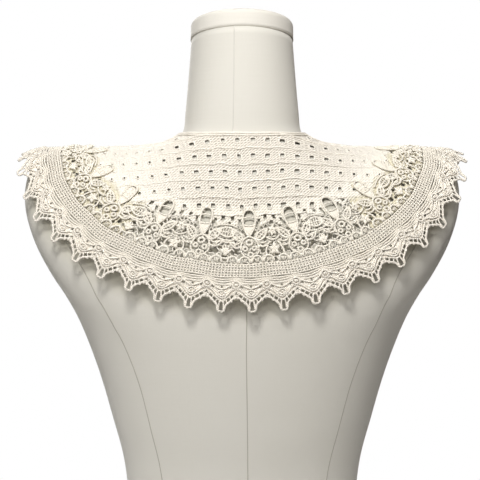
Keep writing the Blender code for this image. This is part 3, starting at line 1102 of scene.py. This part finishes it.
def flowers():
    """The motifs, on every repeat. Between the bells two pairs of motifs take turns."""
    cords, pads = Cloth(), Cloth()
    half = REPEATS // 2
    middles = np.arange(1 - half, half) * 2 / REPEATS
    central = np.abs(np.arange(len(middles)) - (half - 1)) < OPEN_REPEATS
    between = (np.arange(-half, half) + 0.5) * 2 / REPEATS
    turn = np.round(np.abs(between) * half - 0.5).astype(int) + (between > 0)
    even, odd = between[turn % 2 == 0], between[turn % 2 == 1]
    for motif, where, narrow in (
        (bell(True), middles[central], 1.0),
        (bell(False), middles[~central], NARROW),
        (ring_cluster(), middles, 1.0),
        (side_leaves(), middles, NARROW),
        (arches(), middles, NARROW),
        (star(), even, NARROW),
        (padded_flower(), even, NARROW),
        (eye_leaf(), odd, NARROW),
        (fan(), odd, NARROW),
    ):
        motif.lay(cords, where, YOKE_END, FLOWER_SHIFT, pads, narrow)
    return cords, pads


# ---- beading

BEADING_CORDS = (137.6, 140.0, 142.4, 144.8, 147.2, 149.6, 151.8, 153.8, 155.8)
OPEN_ROWS = 5
BARS = 424
BORDER_SHIFT = 0.0079


def to_valley(share):
    """1 at the border's valleys and 0 at its tips, in straight lines between."""
    bare = share - BORDER_SHIFT * (1 - np.abs(share))
    along = bare * POINTS / 2
    return np.abs(2 * (along - np.floor(along)) - 1)


def beading():
    """Nine cords round the collar, and the bars that cross the first OPEN_ROWS gaps between them."""
    cloth, bars = Cloth(), Cloth()
    for k, reach in enumerate(BEADING_CORDS):
        steps, radius = (620, 0.8) if k <= OPEN_ROWS else (960, 0.95)
        share = np.linspace(-THREAD_END, THREAD_END, steps)
        zigzag = max(0, k - OPEN_ROWS) * (0.35 - 0.95 * to_valley(share) ** 1.5)
        wave = 0.12 * np.sin(share * 700 + k * 2.0)
        cloth.thread(share, reach + wave + zigzag, up=0.25 * (k % 2), radius=radius, sides=6)
    for k in range(OPEN_ROWS):
        share = (np.arange(BARS) + 0.5) / BARS * 2 - 1
        share = share[np.abs(share) < 0.997]
        leaning = np.stack([share, share + 0.0006], -1)
        bars.thread(leaning, BEADING_CORDS[k : k + 2], up=0.1, radius=0.78)
    return cloth, bars


# ---- border of points

POINT_TIPS = (np.arange(POINTS) + 0.5) / POINTS * 2 - 1
POINT_WIDE = 14.6  # half of one point, in millimetres on the cloth at the valleys


def hem(x):
    """Where the solid part of a point ends, outward from the beading."""
    return 6.6 + 10.2 * (1 - np.abs(x) / POINT_WIDE)


def border_shell():
    """The worked ground of the points: columns along each point, rows from the beading to its V."""
    cloth = Cloth()
    columns = np.linspace(-1, 1, 31)
    rows = np.linspace(0, 1, 25)
    column, row = np.meshgrid(columns, rows, indexing="ij")
    x = column * POINT_WIDE
    y = -0.4 + row * (hem(x) + 0.4)
    share = POINT_TIPS[:, None, None] + column / POINTS
    reach = BEADING_END + y
    from_middle = np.hypot(x, (y - 9.6) * 1.05)
    chevron = 0.55 * np.cos(2 * math.pi * (y - hem(x)) / 2.55)
    boss = 0.35 * np.exp(-((from_middle / 4.0) ** 2))
    up = np.where(y > 1.0, chevron, 0.2) + boss
    points, _ = place(shifted(share, BORDER_SHIFT), reach, np.broadcast_to(up, share.shape))
    index = np.arange(points.shape[0] * x.size).reshape(points.shape[0], *x.shape)
    mx, my = middle_of(x), middle_of(y)
    dot = np.hypot(mx, (my - 2.4)) < 1.35
    flank = np.hypot(np.abs(mx) - 8.6, (my - 3.2) * 0.8) < 1.0
    low_flank = np.hypot(np.abs(mx) - 7.0, (my - 9.4) * 0.8) < 0.8
    flat = np.stack([np.broadcast_to(x, share.shape), np.broadcast_to(y, share.shape)], -1) * MM * FLAT_SCALE
    quads = sheet_quads(index)[:, ~(dot | flank | low_flank)]
    cloth.add(points, quads, flat.reshape(-1, 2)[quads])
    return cloth


def point_motif():
    m = Motif()
    # the V at the edge of the solid part
    inner = [(-14.6, 6.6), (-9.5, 10.2), (-4.6, 13.8), (-1.6, 16.2), (0, 17.0)]
    m.cord(bow(*inner, step=1.8), 0.8, 0.3)
    # the outer cord, straight down into the sides of the picot
    outer = [(-14.6, 10.6), (-10.2, 14.6), (-6.4, 18.0), (-3.9, 20.8), (-3.5, 23.2), (-3.1, 25.3)]
    outer += [(-1.6, 26.4), (0, 26.4)]
    m.cord(smooth(outer, step=1.6), 1.05, 0.3, mirror=True)
    m.cord(smooth([(-1.6, 16.6), (-2.1, 19.4), (-2.3, 22.4), (-2.2, 25.0)], step=1.6), 0.75, 0.3, mirror=True)
    # the ladder between the two
    for x, y in ((-14.3, 6.9), (-10.9, 9.3), (-7.3, 11.9), (-3.7, 14.5)):
        m.cord(line((x, y), (x - 1.2, y + 2.0), (x - 2.0, y + 3.6)), 0.7, 0.25, mirror=True)
        if x > -14:
            m.pad(circle(x - 2.1, y + 3.9, 1.5, count=8), 1.3, 0.2, mirror=True)
    # nested Vs and the rosette in the middle
    m.cord(bow((-12.4, 4.4), (-8.0, 7.6), (-4.5, 11.6), (0, 13.9), step=2.0), 0.8, 0.8)
    m.cord(circle(0, 9.4, 3.3, 2.5, count=14), 0.85, 1.0, closed=True)
    m.pad(circle(0, 9.4, 1.3, 0.9, count=8), 1.2, 0.7)
    m.cord(bow((-9.4, 0.9), (-6.4, 2.9), (-3.6, 4.4), (0, 5.2)), 0.8, 0.75)
    return m


def valley_motif():
    m = Motif()
    m.cord(circle(0, 1.4, 3.4, 3.2, count=16), 0.95, 1.1, closed=True)
    m.pad(circle(0, 1.4, 1.9, 1.7, count=12), 1.5, 0.9)
    m.cord(bow((-5.4, 5.0), (-2.8, 6.1), (0, 5.6)), 0.7, 0.5)
    return m


def border_cords():
    cloth = Cloth()
    point_motif().lay(cloth, POINT_TIPS, BEADING_END, BORDER_SHIFT)
    valleys = np.arange(1, POINTS) / POINTS * 2 - 1
    valley_motif().lay(cloth, valleys, BEADING_END, BORDER_SHIFT)
    round_edges(cloth, BEADING_END + 0.6, radius=0.9, up=0.2, sides=5)
    return cloth


def front_edges(cloth):
    """Cords along the two ends of the collar at the centre front."""
    for side in (-1, 1):
        cloth.thread(side * 0.9985, np.linspace(0, BEADING_END + 8, 90), up=0.1, radius=1.0, sides=6)


# ---- putting it together

make_form()
make_seams("form_seams", SEAMS, radius=0.5, look=seam_look)
make_seams("neck_seams", NECK_SEAMS, radius=0.45, look=neck_seam_look)
make_cap()

(yoke_sheet, _), (flower_sheet, flower_sunk) = make_fabric()
yoke = yoke_sheet.make("yoke_crochet", yoke_look)
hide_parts("collar_yoke")
cords = Cloth()
hole_rims(cords)
row_bars(cords)
round_edges(cords, reach=0.2, radius=1.3, up=0.3, count=420)
round_edges(cords, reach=2.6, radius=0.9, up=0.4, count=420)
yoke_threads = cords.make("yoke_cords", yoke_cord_look)

ground_cloth = net_ground()
sunk = np.append(np.zeros(ground_cloth.count), flower_sunk)
ground_cloth.join(flower_sheet)
ground = ground_cloth.make("flower_ground", ground_look)
# the sunk pockets of the close ground get painted shade
ground.data.attributes.new("painted_shade", "FLOAT", "POINT").data.foreach_set("value", sunk)
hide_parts("collar_flower_band")
flower_cords, flower_pads = flowers()
motif_cords = flower_cords.make("flower_cords", flower_look)
motif_pads = flower_pads.make("flower_pads", flower_look)

beading_cords, beading_bars = beading()
rows = beading_cords.make("beading_rows", beading_look)
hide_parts("collar_beading")
bars = beading_bars.make("beading_bars", beading_look)

points_shell = border_shell().make("border_points", border_look)
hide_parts("collar_pointed_border")
edging = border_cords()
front_edges(edging)
border_threads = edging.make("border_cords", border_look)


# ---- floor, light and camera


def make_floor():
    rim = [(*point, FLOOR_HEIGHT) for point in circle(0, 0, FLOOR_RADIUS, count=96)]
    mesh = bpy.data.meshes.new("floor")
    mesh.from_pydata(rim, [], [tuple(range(len(rim)))])
    look = bpy.data.materials.new("floor_paper")
    look.use_nodes = True
    shader = look.node_tree.nodes["Principled BSDF"]
    shader.inputs["Base Color"].default_value = (0.9, 0.9, 0.9, 1)
    shader.inputs["Roughness"].default_value = 0.95
    mesh.materials.append(look)
    floor = add_object("floor", mesh)


def area_light(name, place_at, aim, size, watts, colour):
    data = bpy.data.lights.new(name, "AREA")
    data.shape = "DISK"
    data.size = size
    data.energy = watts
    data.color = colour
    lamp = add_object(name, data)
    lamp.location = place_at
    lamp.rotation_euler = (Vector(aim) - Vector(place_at)).to_track_quat("-Z", "Y").to_euler()


def make_world(seen, given):
    """White behind everything, and soft light that is brighter from above and from the left."""
    world = bpy.data.worlds.new("white_studio")
    bpy.context.scene.world = world
    world.use_nodes = True
    tree = world.node_tree
    tree.nodes.clear()
    towards = add_node(tree, "TexCoord").outputs["Generated"]
    lit = add_node(tree, "VectorMath", {0: towards, 1: LIT_FROM}, operation="DOT_PRODUCT")
    share = add_node(tree, "MapRange", {"Value": lit.outputs["Value"], "From Min": -0.7, "From Max": 0.7})
    tone = mixed(tree, share.outputs["Result"], UNLIT_TONE, (1.0, 1.0, 1.0))
    lighting = add_node(tree, "Background", {"Color": tone, "Strength": given})
    backdrop = add_node(tree, "Background", {"Color": (seen, seen, seen, 1)})
    to_camera = add_node(tree, "LightPath").outputs["Is Camera Ray"]
    mix = add_node(tree, "MixShader", {0: to_camera, 1: lighting.outputs[0], 2: backdrop.outputs[0]})
    add_node(tree, "OutputWorld", {"Surface": mix.outputs[0]})


FLOOR_RADIUS = 0.6
FLOOR_HEIGHT = -0.0005
LIT_FROM = (0.45, 0.1, 0.8)
UNLIT_TONE = (0.2, 0.12, 0.06)
WARM = (1.0, 0.985, 0.965)
WHITE = (1.0, 0.99, 0.98)
make_floor()
make_world(seen=1.0, given=0.22)
# Each light's place, what it is aimed at, its size, watts and colour.
area_light("right", (-0.4, 0.3, 1.45), (-0.05, 0, 0.6), 0.6, 3.4, WARM)
area_light("key", (0.16, 1.0, 1.24), (0, 0.05, 0.5), 0.34, 13.6, WARM)
area_light("fill", (0.6, 1.8, 0.8), (0, 0, 0.5), 0.9, 2.6, WHITE)
area_light("left", (0.95, 1.1, 0.95), (0.05, 0, 0.5), 0.6, 2.0, WHITE)
area_light("front", (0.5, -1.8, 1.15), (0, 0, 0.5), 1.2, 36, (1.0, 0.99, 0.975))

CAMERA_AWAY = 1.5
SHOWN_WIDTH = 0.480  # how much the camera sees across at the origin, in metres
SENSOR = 36.0

camera = bpy.data.cameras.new("camera")
camera.sensor_width = SENSOR
camera.lens = SENSOR * CAMERA_AWAY / SHOWN_WIDTH
camera.clip_start = 0.05
eye = add_object("camera", camera)
eye.location = (0.002, CAMERA_AWAY, 0.455)
eye.rotation_euler = (math.pi / 2, 0, math.pi)
bpy.context.scene.camera = eye
bpy.context.scene.view_settings.view_transform = "Standard"
